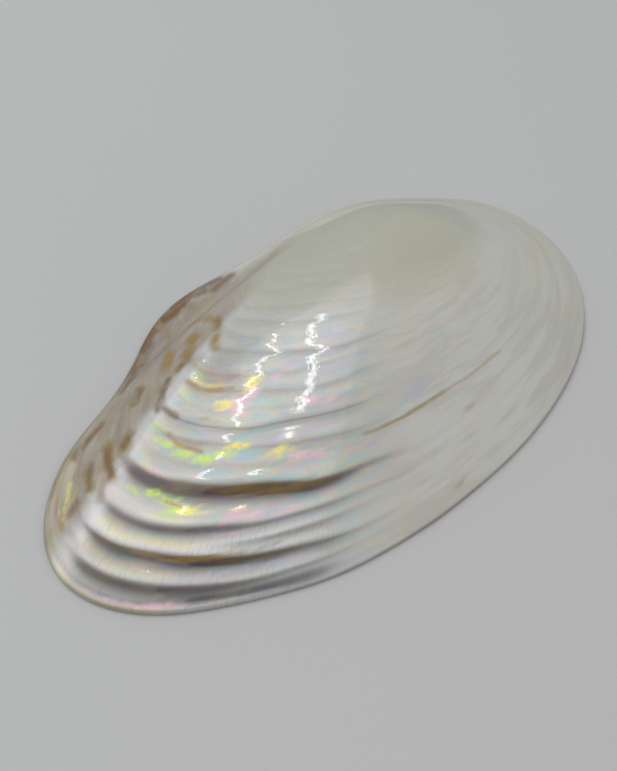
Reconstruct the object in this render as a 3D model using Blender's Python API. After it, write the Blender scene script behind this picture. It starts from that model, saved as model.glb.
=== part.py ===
"""One valve of a large freshwater pearl mussel, polished down to its nacre.

The valve lies on its open side, convex side up.  The rim is flat on z = 0,
the blunt posterior end points to -X, the rounded anterior end to +X and the
hinge margin with the beak (umbo) to +Y.

The outside is a loft through growth lines.  Each growth line is the rim
outline made smaller by a factor and swung up about the hinge axis, which is
how the living shell grows: the factor and the swing follow one logarithmic
spiral, so the lines crowd together at the beak.  The beak is worn smooth and
runs into the hinge flank without a hollow behind it.
"""

import bpy
import bmesh
import numpy as np
from math import radians

# ---------------------------------------------------------------- dimensions
MM = 0.001

VALVE_LENGTH = 150.0        # along X, tip to tip
EDGE_THICKNESS = 1.3        # height of the blunt edge of the rim
WALL_THICKNESS = 2.9        # shell wall in the dome, measured upright
WALL_RISE = 3.0             # dome height over which the wall reaches it
RIM_WIDTH = 1.9             # flat seat inside the free edge
HINGE_WIDTH = 6.0           # flat seat under the hinge margin

# control points of the rim outline in plan, millimetres, anticlockwise from
# the middle of the hinge margin: wing, posterior end, belly, front, beak
OUTLINE = [
    (4.9, 42.0), (-4.5, 42.8), (-14.1, 42.8), (-23.0, 40.0),
    (-30.9, 34.5), (-39.0, 29.8), (-48.0, 26.8), (-57.0, 23.6),
    (-65.0, 18.6), (-71.6, 11.5), (-75.5, 2.7), (-74.7, -6.8),
    (-69.9, -15.2), (-63.0, -21.9), (-55.0, -26.9), (-46.5, -31.1),
    (-37.9, -35.0), (-29.0, -38.4), (-19.8, -40.5), (-10.4, -41.7),
    (-1.0, -42.6), (8.5, -42.5), (17.9, -42.1), (27.4, -41.1),
    (36.6, -39.2), (45.7, -36.4), (54.4, -32.6), (62.3, -27.3),
    (68.8, -20.4), (73.4, -12.0), (75.4, -2.7), (74.5, 6.9),
    (71.3, 16.0), (65.6, 22.9), (58.3, 29.0), (50.6, 35.0),
    (42.3, 39.6), (33.2, 42.0), (23.8, 42.2), (14.3, 41.8),
]

# the growth spiral
POLE = (42.7, 27.0)         # centre of growth on the hinge axis
HINGE_AXIS = radians(-22.0)  # direction of the hinge axis in plan
LIFT_AXIS = radians(-14.0)  # line that the dome rises from, through the pole
SWING = 2.94                # how fast a line shrinks as it swings up
SWING_GAIN = 0.20           # extra swing of the older lines
TWIST = -0.188              # turn of the lines in plan as they shrink
LEAN = -0.21                # lean of the lines along the hinge axis
SHOULDER = 23.0             # lift kept by the hinge margin itself
INFLATION = 1.80
BEAK_RAISE = 1.4            # lifts the last lines clear of the hinge margin
BEAK_AGE = 1.45             # log size at which that lift sets in
BEAK_FILL = 0.92            # share of the hollow behind the beak that is filled
FILL_AGES = (0.45, 1.0)     # log sizes over which that fill sets in

# the hollow
DOME_CENTRE = (34.0, 3.0)   # plan point that the hollow is drawn in towards
BEAK_START = 0.30           # smallest growth line that the hollow follows

# ------------------------------------------------------------------- meshing
ROUND = 80                  # points on each growth line
OUTER_ROWS = 24             # growth lines outside, rim to beak
OUTER_SPAN = 2.60           # natural log of rim size over beak tip size
INNER_ROWS = 13             # growth lines inside
CAP_ROWS = 4                # rings that close the hollow under the beak


def outline(count):
    """Points on the closed cubic B-spline through the control polygon."""
    net = np.array(OUTLINE, float)
    number = len(net)
    where = np.arange(count) / count * number
    span = np.floor(where).astype(int)
    f = where - span
    weights = np.stack([(1 - f) ** 3 / 6,
                        (3 * f ** 3 - 6 * f ** 2 + 4) / 6,
                        (-3 * f ** 3 + 3 * f ** 2 + 3 * f + 1) / 6,
                        f ** 3 / 6], axis=1)
    points = np.zeros((count, 2))
    for j in range(4):
        points += weights[:, j:j + 1] * net[(span + j - 1) % number]
    low, high = points.min(axis=0), points.max(axis=0)
    points -= (low + high) / 2
    return points * (VALVE_LENGTH / (high[0] - low[0]))


def growth_line(rim, size):
    """The rim outline at a smaller size, swung up about the hinge axis."""
    age = -np.log(size)
    swing = age / SWING * (1 + SWING_GAIN * age)
    turn = TWIST * age
    along = np.array([np.cos(HINGE_AXIS), np.sin(HINGE_AXIS)])
    across = np.array([-np.sin(HINGE_AXIS), np.cos(HINGE_AXIS)])
    local = np.stack([(rim - POLE) @ along, (rim - POLE) @ across], axis=1)
    x = np.cos(turn) * local[:, 0] - np.sin(turn) * local[:, 1]
    y = np.sin(turn) * local[:, 0] + np.cos(turn) * local[:, 1]
    tilt = LIFT_AXIS - HINGE_AXIS
    depth = np.sin(tilt) * x - np.cos(tilt) * y
    lift = 0.5 * (depth + np.sqrt(depth ** 2 + 4 * SHOULDER ** 2))
    z = lift * size * np.sin(swing) * INFLATION
    u = x * size - LEAN * z
    z = z + BEAK_RAISE * max(0.0, age - BEAK_AGE) ** 1.5
    v = y * size * np.cos(swing)
    plan = np.array(POLE) + u[:, None] * along + v[:, None] * across
    return np.column_stack([plan, z])


def seat_width(rim):
    """Width of the flat seat: narrow at the free edge, wide at the hinge."""
    t = np.clip((rim[:, 1] - 27.0) / 13.0, 0, 1)
    return RIM_WIDTH + (HINGE_WIDTH - RIM_WIDTH) * t * t * (3 - 2 * t)


def drawn_in(points, rim):
    """Move plan points towards the dome centre, by the seat's width at the
    rim and in proportion further in."""
    centre = np.array(DOME_CENTRE)
    arm = rim - centre
    angle = np.arctan2(arm[:, 1], arm[:, 0])
    reach = np.hypot(arm[:, 0], arm[:, 1])
    ratio = 1 - seat_width(rim) / reach
    order = np.argsort(angle)
    a = points[:, :2] - centre
    at = np.arctan2(a[:, 1], a[:, 0])
    scale = np.interp(at, angle[order], ratio[order], period=2 * np.pi)
    return centre + a * scale[:, None]


def beak_fill(lines, ages):
    """How far the worn beak's flank stands above the growth spiral: up to the
    valve's convex hull, evened out, and only on the older lines."""
    points = lines.reshape(-1, 3)
    hull = np.full(len(points), 1e9)
    slopes = np.linspace(-2.2, 2.2, 41)
    for p in slopes:
        rest = points[:, 2] - p * points[:, 0]
        for q in slopes:
            top = (rest - q * points[:, 1]).max()
            hull = np.minimum(hull, p * points[:, 0] + q * points[:, 1] + top)
    fill = (hull - points[:, 2]).reshape(lines.shape[:2])
    # even out over the ages, then round each line
    spread = (0.05 + 0.04 * ages)[:, None]
    kernel = (np.exp(-((ages[:, None] - ages[None, :]) / spread) ** 2)
              * np.gradient(ages)[None, :])
    fill = (kernel / kernel.sum(axis=1, keepdims=True)) @ fill
    place = np.arange(ROUND)
    reach = np.abs(place[:, None] - place[None, :])
    reach = np.minimum(reach, ROUND - reach)
    bell = np.exp(-(reach / (0.018 * ROUND)) ** 2)
    fill = fill @ (bell / bell.sum(axis=0, keepdims=True))
    t = np.clip((ages - FILL_AGES[0]) / (FILL_AGES[1] - FILL_AGES[0]), 0, 1)
    return fill * (BEAK_FILL * t * t * (3 - 2 * t))[:, None]


def outer_sections(rim):
    """Closed sections from the seat's outer edge over the dome to the beak."""
    flat = np.column_stack([rim, np.zeros(len(rim))])
    ages = OUTER_SPAN * (np.arange(1, OUTER_ROWS + 1) / OUTER_ROWS) ** 1.35
    lines = np.array([growth_line(rim, np.exp(-age)) for age in ages])
    lines[:, :, 2] += EDGE_THICKNESS
    lines[:, :, 2] += beak_fill(lines, ages)
    sections = [flat] + list(lines)
    # blunt edge: a short upright band, then the corner is taken off
    band = flat.copy()
    band[:, 2] = EDGE_THICKNESS * 0.72
    corner = growth_line(rim, 0.9955)
    corner[:, 2] += EDGE_THICKNESS
    sections[1:1] = [band, corner]
    return sections


def inner_sections(rim):
    """Closed sections from the seat's inner edge up into the hollow."""
    sections = []
    deepest = -np.log(BEAK_START)
    for k in range(INNER_ROWS + 1):
        line = growth_line(rim, np.exp(-deepest * (k / INNER_ROWS) ** 1.25))
        z = line[:, 2]
        gain = WALL_THICKNESS - EDGE_THICKNESS
        inside = z - gain * (1 - np.exp(-z / WALL_RISE))
        sections.append(np.column_stack([drawn_in(line, rim), inside]))
    # a shallow dished end closes the hollow under the beak
    last, before = sections[-1], sections[-2]
    middle = last.mean(axis=0)
    bulge = (last - before).mean(axis=0) * 1.2
    for k in range(1, CAP_ROWS):
        t = k / CAP_ROWS
        sections.append(middle + (last - middle) * (1 - t)
                        + bulge * (1 - (1 - t) ** 2))
    return sections, middle + bulge


def loft(sections, bottom_tip, top_tip):
    """Quads between following sections, a fan at each end."""
    mesh = bmesh.new()
    rings = [[mesh.verts.new(tuple(p * MM)) for p in s] for s in sections]
    for a, b in zip(rings[:-1], rings[1:]):
        for i in range(ROUND):
            j = (i + 1) % ROUND
            mesh.faces.new((a[i], a[j], b[j], b[i]))
    for ring, tip, turn in ((rings[0], bottom_tip, 1), (rings[-1], top_tip, 0)):
        point = mesh.verts.new(tuple(tip * MM))
        for i in range(ROUND):
            j = (i + 1) % ROUND
            face = (ring[j], ring[i], point) if turn else (ring[i], ring[j], point)
            mesh.faces.new(face)
    bmesh.ops.recalc_face_normals(mesh, faces=mesh.faces[:])
    return mesh


def build_valve():
    rim = outline(ROUND)
    outer = outer_sections(rim)
    inner, hollow_tip = inner_sections(rim)
    # one run of sections: deepest point of the hollow, out to the seat's
    # inner edge, across the flat seat, over the outside, up to the beak
    sections = inner[::-1] + outer
    tip = outer[-1].mean(axis=0)
    mesh = loft(sections, hollow_tip, tip)
    data = bpy.data.meshes.new("mussel_valve")
    mesh.to_mesh(data)
    mesh.free()
    data.shade_smooth()
    data.set_sharp_from_angle(angle=radians(40))
    return data


def pearl_material():
    material = bpy.data.materials.new("mother_of_pearl")
    material.use_nodes = True
    shader = material.node_tree.nodes["Principled BSDF"]
    shader.inputs["Base Color"].default_value = (0.72, 0.69, 0.62, 1.0)
    shader.inputs["Roughness"].default_value = 0.16
    shader.inputs["Metallic"].default_value = 0.0
    shader.inputs["Coat Weight"].default_value = 0.6
    return material


for item in list(bpy.data.objects):
    bpy.data.objects.remove(item, do_unlink=True)

collection = bpy.data.collections.new("mussel_shell_valve")
bpy.context.scene.collection.children.link(collection)

valve = bpy.data.objects.new("mussel_valve", build_valve())
valve.data.materials.append(pearl_material())
collection.objects.link(valve)
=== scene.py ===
"""Looks of one polished freshwater pearl mussel valve, convex side up.

The fine surface follows the same growth spiral as the solid: every point is
known by where it sits round the rim (0 to 1, anticlockwise from the middle of
the hinge margin) and by its growth age, the natural log of how much smaller
its growth line is than the rim.
"""

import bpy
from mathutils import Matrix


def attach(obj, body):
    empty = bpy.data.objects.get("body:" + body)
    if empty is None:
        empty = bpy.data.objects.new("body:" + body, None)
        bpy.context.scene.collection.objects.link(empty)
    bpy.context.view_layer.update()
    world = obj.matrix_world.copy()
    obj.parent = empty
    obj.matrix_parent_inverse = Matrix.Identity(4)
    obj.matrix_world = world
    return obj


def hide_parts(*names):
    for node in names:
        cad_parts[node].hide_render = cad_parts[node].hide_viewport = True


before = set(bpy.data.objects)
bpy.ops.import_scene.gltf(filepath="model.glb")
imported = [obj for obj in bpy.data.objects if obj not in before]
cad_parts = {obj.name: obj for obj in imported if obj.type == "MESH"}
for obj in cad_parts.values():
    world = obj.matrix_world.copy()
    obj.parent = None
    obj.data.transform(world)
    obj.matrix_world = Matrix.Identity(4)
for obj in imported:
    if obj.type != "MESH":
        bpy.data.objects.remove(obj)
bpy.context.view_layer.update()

from math import cos, pi, radians, sin

import bpy
import numpy as np
from mathutils import Vector

MM = 0.001

# ------------------------------------------------------------ shell constants
VALVE_LENGTH = 150.0
EDGE_THICKNESS = 1.3
WALL_THICKNESS = 2.9
WALL_RISE = 3.0
RIM_WIDTH = 1.9
HINGE_WIDTH = 6.0
OUTLINE = [
    (4.9, 42.0), (-4.5, 42.8), (-14.1, 42.8), (-23.0, 40.0),
    (-30.9, 34.5), (-39.0, 29.8), (-48.0, 26.8), (-57.0, 23.6),
    (-65.0, 18.6), (-71.6, 11.5), (-75.5, 2.7), (-74.7, -6.8),
    (-69.9, -15.2), (-63.0, -21.9), (-55.0, -26.9), (-46.5, -31.1),
    (-37.9, -35.0), (-29.0, -38.4), (-19.8, -40.5), (-10.4, -41.7),
    (-1.0, -42.6), (8.5, -42.5), (17.9, -42.1), (27.4, -41.1),
    (36.6, -39.2), (45.7, -36.4), (54.4, -32.6), (62.3, -27.3),
    (68.8, -20.4), (73.4, -12.0), (75.4, -2.7), (74.5, 6.9),
    (71.3, 16.0), (65.6, 22.9), (58.3, 29.0), (50.6, 35.0),
    (42.3, 39.6), (33.2, 42.0), (23.8, 42.2), (14.3, 41.8),
]
POLE = np.array([42.7, 27.0])
HINGE_AXIS = radians(-22.0)
LIFT_AXIS = radians(-14.0)
SWING = 2.94
SWING_GAIN = 0.20
TWIST = -0.188
LEAN = -0.21
SHOULDER = 23.0
INFLATION = 1.80
BEAK_RAISE = 1.4
BEAK_AGE = 1.45
DOME_CENTRE = np.array([34.0, 3.0])
BEAK_START = 0.30
INSET = 0.12                # keeps the fine surface just inside the solid's box

# ----------------------------------------------------------------- mesh sizes
COLUMNS = 312
INNER_ROWS = 44
CAP_ROWS = 6

# ------------------------------------------------------------------- relief
# Growth rests: each is a groove that runs round the valve.  Its age drifts a
# little along the rim, and it is deep at the posterior end and faint in front.
KNOTS = [0.00, 0.14, 0.22, 0.27, 0.31, 0.345, 0.37, 0.41, 0.45, 0.50, 0.55, 0.61, 0.67, 0.80, 1.00]
#          age at each knot, then strength at each knot
RESTS = [
    ([.016, .017, .017, .017, .018, .021, .016, .018, .020, .020, .018, .016, .018, .018, .016],
     [.30, .45, .55, .60, .60, .55, .45, .30, .20, .15, .12, .12, .10, .15, .30]),
    ([.042, .042, .043, .044, .044, .040, .035, .040, .046, .045, .042, .040, .038, .040, .042],
     [.30, .55, .80, 1.0, 1.0, .95, .80, .45, .25, .16, .12, .10, .14, .15, .30]),
    ([.094, .094, .095, .096, .100, .090, .082, .080, .074, .076, .080, .082, .085, .090, .094],
     [.30, .60, .85, 1.0, 1.1, 1.1, 1.0, .70, .35, .25, .16, .12, .10, .15, .30]),
    ([.126, .127, .128, .129, .128, .122, .116, .120, .126, .116, .115, .112, .110, .115, .126],
     [.05, .08, .10, .12, .15, .25, .45, .45, .30, .12, .10, .08, .08, .08, .05]),
    ([.152, .152, .153, .154, .154, .154, .150, .156, .158, .146, .158, .144, .150, .150, .152],
     [.30, .55, .75, .90, .95, .90, .60, .45, .35, .35, .22, .20, .18, .18, .30]),
    ([.240, .242, .243, .244, .244, .238, .232, .214, .219, .200, .214, .220, .212, .220, .240],
     [.30, .60, .85, 1.0, 1.2, 1.35, 1.35, 1.0, .55, .24, .16, .14, .12, .15, .30]),
    ([.300, .301, .302, .303, .300, .300, .292, .298, .300, .302, .300, .286, .268, .280, .300],
     [.10, .15, .20, .25, .25, .20, .22, .12, .15, .55, .45, .25, .20, .15, .10]),
    ([.352, .353, .354, .354, .360, .350, .338, .334, .327, .335, .334, .336, .338, .340, .352],
     [.20, .35, .45, .50, .50, .35, .50, .55, .45, .20, .15, .12, .12, .12, .20]),
    ([.402, .402, .402, .403, .404, .398, .404, .404, .404, .400, .396, .394, .392, .396, .402],
     [.25, .45, .60, .70, .55, .60, .65, .60, .45, .18, .14, .16, .22, .20, .25]),
    ([.452, .453, .454, .455, .455, .460, .454, .450, .450, .448, .442, .454, .460, .450, .452],
     [.10, .15, .20, .22, .20, .20, .25, .25, .25, .22, .25, .30, .20, .15, .10]),
    ([.504, .504, .503, .503, .516, .518, .506, .504, .520, .522, .520, .520, .520, .510, .504],
     [.25, .40, .60, .65, .60, .55, .45, .40, .40, .20, .15, .14, .14, .18, .25]),
    ([.558, .558, .558, .560, .574, .576, .574, .590, .594, .590, .580, .574, .570, .560, .558],
     [.15, .30, .45, .45, .40, .40, .40, .30, .22, .15, .15, .12, .12, .12, .15]),
    ([.658, .658, .658, .658, .668, .662, .654, .644, .650, .652, .672, .700, .610, .640, .658],
     [.20, .30, .45, .50, .55, .60, .65, .60, .50, .35, .30, .22, .20, .20, .20]),
    ([.730, .730, .730, .732, .735, .725, .715, .705, .715, .730, .740, .760, .720, .725, .730],
     [.10, .15, .20, .20, .20, .18, .18, .20, .15, .12, .12, .12, .12, .10, .10]),
    ([.800, .800, .800, .805, .818, .802, .798, .796, .790, .800, .810, .830, .800, .800, .800],
     [.15, .25, .30, .30, .35, .40, .40, .38, .28, .20, .16, .14, .14, .15, .15]),
    ([.880, .880, .880, .885, .904, .904, .906, .890, .862, .858, .880, .900, .930, .890, .880],
     [.15, .20, .25, .30, .32, .32, .30, .32, .35, .30, .20, .16, .20, .15, .15]),
    ([1.01, 1.01, 1.01, 1.01, 1.02, 1.05, 1.04, 1.03, 1.01, 1.00, 1.01, 1.00, 1.02, 1.01, 1.01],
     [.15, .20, .25, .25, .25, .28, .28, .28, .24, .20, .20, .16, .14, .15, .15]),
    ([1.13, 1.13, 1.13, 1.13, 1.14, 1.15, 1.14, 1.13, 1.12, 1.12, 1.13, 1.12, 1.13, 1.13, 1.13],
     [.12, .15, .18, .20, .20, .20, .20, .18, .16, .14, .14, .12, .12, .12, .12]),
    ([1.27, 1.27, 1.27, 1.27, 1.27, 1.28, 1.27, 1.26, 1.26, 1.26, 1.26, 1.25, 1.26, 1.27, 1.27],
     [.12, .14, .16, .18, .18, .18, .18, .16, .14, .12, .12, .12, .12, .12, .12]),
    ([1.44, 1.44, 1.44, 1.44, 1.44, 1.44, 1.44, 1.44, 1.44, 1.44, 1.44, 1.44, 1.44, 1.44, 1.44],
     [.12, .12, .14, .14, .14, .14, .14, .14, .12, .12, .12, .12, .12, .12, .12]),
    ([1.64, 1.64, 1.64, 1.64, 1.64, 1.64, 1.64, 1.64, 1.64, 1.64, 1.64, 1.64, 1.64, 1.64, 1.64],
     [.10, .12, .14, .14, .14, .14, .14, .14, .12, .12, .12, .12, .12, .12, .10]),
    ([1.86, 1.86, 1.86, 1.86, 1.86, 1.86, 1.86, 1.86, 1.86, 1.86, 1.86, 1.86, 1.86, 1.86, 1.86],
     [.10, .12, .14, .14, .14, .14, .14, .14, .12, .12, .12, .12, .12, .12, .10]),
]
STEEPNESS = 0.40            # slope of the outer face of a full-strength ridge
# how much dark film each groove holds, and half the film's width as an age
FILM = [(.30, .004), (.50, .007), (1.05, .0055), (.20, .004), (.50, .007), (1.25, .0125),
        (.30, .004), (.40, .005), (.80, .0035), (.15, .004), (.30, .005), (.20, .005),
        (.30, .006), (.12, .006), (.25, .008), (.25, .009), (.20, .010), (.10, .012),
        (.10, .014), (.08, .016), (.05, .018), (.05, .020)]
# creamy tops of the ridges near the posterior end, partly painted highlight:
# which groove, how far inwards of it and how wide (both as an age), first and
# last place, amount
LIPS = [(0, .011, .0045, .272, .330, .80), (1, .028, .0120, .258, .330, .85),
        (2, .029, .0095, .264, .334, 1.00), (4, .017, .0070, .292, .330, .75),
        (5, .018, .0060, .268, .300, .35)]


def smooth(x, low, high):
    t = np.clip((x - low) / (high - low), 0.0, 1.0)
    return t * t * (3 - 2 * t)


def outline(where):
    """Rim points at the given places (0..1) on the closed cubic B-spline."""
    net = np.array(OUTLINE, float)
    number = len(net)

    def curve(place):
        place = place * number
        span = np.floor(place).astype(int)
        f = place - span
        weights = np.stack([(1 - f) ** 3 / 6,
                            (3 * f ** 3 - 6 * f ** 2 + 4) / 6,
                            (-3 * f ** 3 + 3 * f ** 2 + 3 * f + 1) / 6,
                            f ** 3 / 6], axis=1)
        return sum(weights[:, j:j + 1] * net[(span + j - 1) % number]
                   for j in range(4))

    whole = curve(np.arange(80) / 80)
    low, high = whole.min(axis=0), whole.max(axis=0)
    return ((curve(np.asarray(where)) - (low + high) / 2)
            * ((VALVE_LENGTH - 2 * INSET) / (high[0] - low[0])))


def growth_surface(rim, ages):
    """Points of the growth lines of these ages: an array (ages, rim, 3)."""
    ages = np.asarray(ages, float)[:, None]
    size = np.exp(-ages)
    swing = ages / SWING * (1 + SWING_GAIN * ages)
    turn = TWIST * ages
    along = np.array([cos(HINGE_AXIS), sin(HINGE_AXIS)])
    across = np.array([-sin(HINGE_AXIS), cos(HINGE_AXIS)])
    lx = ((rim - POLE) @ along)[None, :]
    ly = ((rim - POLE) @ across)[None, :]
    x = np.cos(turn) * lx - np.sin(turn) * ly
    y = np.sin(turn) * lx + np.cos(turn) * ly
    tilt = LIFT_AXIS - HINGE_AXIS
    depth = sin(tilt) * x - cos(tilt) * y
    lift = 0.5 * (depth + np.sqrt(depth ** 2 + 4 * SHOULDER ** 2))
    z = lift * size * np.sin(swing) * INFLATION
    u = x * size - LEAN * z
    z = z + BEAK_RAISE * np.maximum(0.0, ages - BEAK_AGE) ** 1.5
    v = y * size * np.cos(swing)
    return np.stack([POLE[0] + u * along[0] + v * across[0],
                     POLE[1] + u * along[1] + v * across[1],
                     z + 0 * x], axis=2)


def knot_values(values, where):
    """Smooth periodic interpolation of knot values round the rim."""
    knots = np.array(KNOTS)
    values = np.array(values, float)
    slope = np.gradient(values, knots)
    slope[0] = slope[-1] = 0.5 * (slope[0] + slope[-1])
    i = np.clip(np.searchsorted(knots, where, side="right") - 1, 0, len(knots) - 2)
    h = knots[i + 1] - knots[i]
    t = (where - knots[i]) / h
    return ((2 * t ** 3 - 3 * t ** 2 + 1) * values[i]
            + (t ** 3 - 2 * t ** 2 + t) * h * slope[i]
            + (-2 * t ** 3 + 3 * t ** 2) * values[i + 1]
            + (t ** 3 - t ** 2) * h * slope[i + 1])


def relief(where, ages, width_per_age):
    """Height (mm) of the growth ridges and, for the material, how much film
    lies at each point (0..1), the local ridge strength, the painted shade on
    the ridge's outer face and where the ridge tops are creamy, partly as
    painted highlight.

    Every groove is a rounded step that faces the rim.  The steps are added up
    from the rim inwards, and their slow part is taken off, so that the surface
    swells and sinks about the growth spiral."""
    starts = np.array([knot_values(a, where) for a, s in RESTS])
    power = np.array([knot_values(s, where) for a, s in RESTS]).clip(0.02)
    outside = np.arange(-0.16, ages[0] - 0.002, 0.004)
    grid = np.concatenate([outside, ages])
    scale = np.concatenate([np.repeat(width_per_age[:1], len(outside), axis=0),
                            width_per_age])
    face = np.zeros((len(grid), len(where)))
    film = np.zeros_like(face)
    strength = np.zeros_like(face)
    weights = np.zeros_like(face)
    shade = np.zeros_like(face)
    for k in range(len(RESTS)):
        a, p = starts[k][None, :], power[k][None, :]
        wide = (0.0080 + 0.0085 * np.minimum(p, 1.3)) * (1 + 0.9 * a)
        off = grid[:, None] - a
        face += p ** 1.3 * np.exp(-(off / wide) ** 2)
        # painted shade: dark at the groove, brighter again slowly on the side of the rim
        side = wide * np.where(off < 0, 1.55 + 0.45 * (1 - smooth(a, .10, .14)), 0.62)
        shade = np.maximum(shade, p ** 0.8 * np.exp(-np.abs(off / side) ** 1.7))
        amount, half = FILM[k]
        half = half * (0.35 + 0.65 * np.minimum(p, 1.0))
        film = np.maximum(film, amount * np.clip(p, 0, 1.1) * smooth(p, .12, .45)
                          * np.exp(-np.abs(off / half) ** 2.6))
        near = np.exp(-(off / 0.04) ** 2) + 1e-9
        strength += p * near
        weights += near
    slope = face * STEEPNESS * scale
    steps = 0.5 * (slope[1:] + slope[:-1]) * np.diff(grid)[:, None]
    height = np.concatenate([np.zeros((1, len(where))), np.cumsum(steps, axis=0)])
    spread = (0.026 + 0.030 * np.maximum(grid, 0))[:, None]
    kernel = (np.exp(-((grid[:, None] - grid[None, :]) / spread) ** 2)
              * np.gradient(grid)[None, :])
    kernel /= kernel.sum(axis=1, keepdims=True)
    height = height - kernel @ height
    # painted shade: the belly's edge beside the posterior end is dark as well
    edge = (smooth(where, .322, .345) * (1 - smooth(where, .410, .450)))[None, :]
    shade = np.maximum(shade, .90 * edge
                       * np.exp(-np.abs((grid[:, None] - .019) / .015) ** 2.5))
    cream_and_highlight = np.zeros_like(face)
    for k, inwards, half, begin, end, amount in LIPS:
        off = grid[:, None] - (starts[k][None, :] + inwards)
        window = smooth(where, begin - .008, begin + .006) * (
            1 - smooth(where, end - .012, end + .006))
        cream_and_highlight = np.maximum(cream_and_highlight, amount * window[None, :]
                           * np.exp(-np.abs(off / half) ** 2.4))
    # painted highlight: a creamy white band along the posterior rim
    painted_rim_highlight = (smooth(where, .244, .262) * (1 - smooth(where, .322, .340)))[None, :]
    cream_and_highlight = np.maximum(cream_and_highlight, .9 * painted_rim_highlight * (1 - smooth(grid, .008, .015))[:, None])
    first = len(outside)
    return (height[first:], film[first:], (strength / weights)[first:],
            np.clip(shade, 0, 1)[first:], cream_and_highlight[first:])


def beak_fill(points, ages):
    """How far (mm) the hollow behind the worn beak is filled out: the height
    of the valve's convex hull over it, evened out."""
    flat = points.reshape(-1, 3)
    hull = np.full(len(flat), 1e9)
    slopes = np.linspace(-2.2, 2.2, 41)
    for p in slopes:
        rest = flat[:, 2] - p * flat[:, 0]
        for q in slopes:
            top = (rest - q * flat[:, 1]).max()
            np.minimum(hull, p * flat[:, 0] + q * flat[:, 1] + top, out=hull)
    fill = (hull - flat[:, 2]).reshape(points.shape[:2])
    spread = (0.05 + 0.04 * ages)[:, None]
    kernel = (np.exp(-((ages[:, None] - ages[None, :]) / spread) ** 2)
              * np.gradient(ages)[None, :])
    fill = (kernel / kernel.sum(axis=1, keepdims=True)) @ fill
    count = fill.shape[1]
    reach = np.minimum(np.arange(count), count - np.arange(count))
    bell = np.exp(-(reach / (0.018 * count)) ** 2)
    fill = np.real(np.fft.ifft(np.fft.fft(fill, axis=1)
                               * np.fft.fft(bell / bell.sum())[None, :], axis=1))
    return fill * 0.92 * smooth(ages, .45, 1.0)[:, None]


# ------------------------------------------------------------------ markings and painted iridescent highlights
# Each spot: place round the rim, age, half length along the growth line (mm),
# half width across it (mm), strength.
BROWN = [
    (.050, .008, 8, 1.3, .7), (.064, .010, 8, 1.8, .9), (.078, .012, 7, 1.8, .8),
    (.076, .05, 9, 1.6, .6), (.100, .02, 9, 1.4, .7), (.125, .02, 9, 1.2, .6),
    (.150, .03, 9, 1.2, .6), (.175, .02, 9, .8, .5), (.205, .012, 9, .6, .5),
]
PURPLE = [
    (.085, .12, 12, 5.0, .8), (.120, .20, 14, 6.0, .6), (.160, .30, 14, 6.0, .6),
    (.190, .42, 10, 5.0, .55), (.215, .55, 8, 4.0, .5), (.215, .25, 8, 5.0, .45),
    (.225, .12, 7, 4.0, .4), (.228, .36, 5, 3.4, .5), (.288, .560, 6, 2.6, .45),
    (.306, .248, 4.2, 1.1, .7), (.236, .68, 4, 3.0, .4),
]
OCHRE = [
    (.345, .093, 13, .9, .9), (.305, .099, 7, .8, .7), (.385, .222, 9, 1.6, .6),
    (.350, .236, 7, 1.3, .5), (.283, .525, 4.5, 1.3, .4), (.290, .540, 6, 2.4, .40),
    (.300, .350, 5, .7, .6),
    (.545, .205, 2.4, .8, .35), (.520, .03, 2.2, .8, .4), (.300, .42, 3, .6, .4),
    (.238, .045, 3, 1.2, .6), (.222, .030, 4, 1.2, .5), (.060, .80, 12, 3.5, .35),
]
# LIME, YELLOW, PINK, TEAL and VIOLET are painted iridescent highlights: bright pastel patches of
# sheen; the two PINK spots at age .009 are the painted highlight along the posterior rim
LIME = [
    (.278, .332, 3.2, 1.0, .8), (.298, .322, 4.0, 1.2, .9), (.316, .317, 4.0, 1.7, 1.0),
    (.327, .328, 2.6, 1.4, .9), (.290, .222, 3.0, 1.2, 1.0), (.302, .208, 3.0, 1.2, .9),
    (.316, .196, 3.6, 1.4, .9), (.306, .180, 3.2, 1.0, .7), (.276, .210, 3.0, 1.0, .6),
    (.268, .470, 2.6, 1.4, .35), (.262, .350, 2.6, 1.4, .4), (.270, .545, 2.4, 2.0, .4),
    (.292, .340, 2.4, .7, .5),
]
YELLOW = [
    (.336, .350, 1.8, 1.2, 1.0), (.342, .345, 2.0, 1.1, 1.0), (.327, .550, 2.0, 2.8, 1.0),
    (.320, .190, 3.4, 1.5, 1.0), (.312, .202, 2.6, .9, .8), (.376, .318, 3.2, 1.8, .9),
    (.300, .330, 2.0, .7, .5), (.286, .340, 2.0, .6, .5),
    (.232, .055, 2.0, 1.8, .5), (.231, .085, 1.6, 1.8, .4), (.312, .470, 2.8, 1.8, .9),
    (.356, .190, 2.0, .7, .4), (.335, .560, 1.3, 1.4, .5),
]
PINK = [
    (.356, .184, 3.2, 1.7, 1.0), (.368, .170, 2.6, 1.3, .9), (.394, .165, 3.0, .9, .8),
    (.350, .168, 2.6, 1.0, .8), (.300, .009, 8.0, .8, .7), (.322, .009, 5.0, 1.0, 1.0),
    (.394, .298, 3.4, 1.4, .9), (.411, .288, 2.6, .9, .6), (.394, .455, 2.6, 1.4, .8),
    (.410, .445, 2.2, 1.1, .6), (.322, .480, 2.8, 2.4, .9), (.333, .505, 2.2, 2.8, .9),
    (.313, .455, 1.8, 1.2, .6), (.355, .138, 4.0, .5, .6), (.298, .500, 2.0, .7, .5),
    (.328, .455, 2.6, 1.4, .8), (.292, .560, 5.0, 1.8, .35),
    (.330, .440, 2.2, .8, .5), (.285, .262, 3.6, 1.0, .4), (.352, .560, 1.6, 1.4, .5),
    (.364, .585, 1.6, 1.2, .4), (.258, .160, 2.0, 2.4, .35), (.260, .02, 2.0, 2.0, .4),
]
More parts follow.
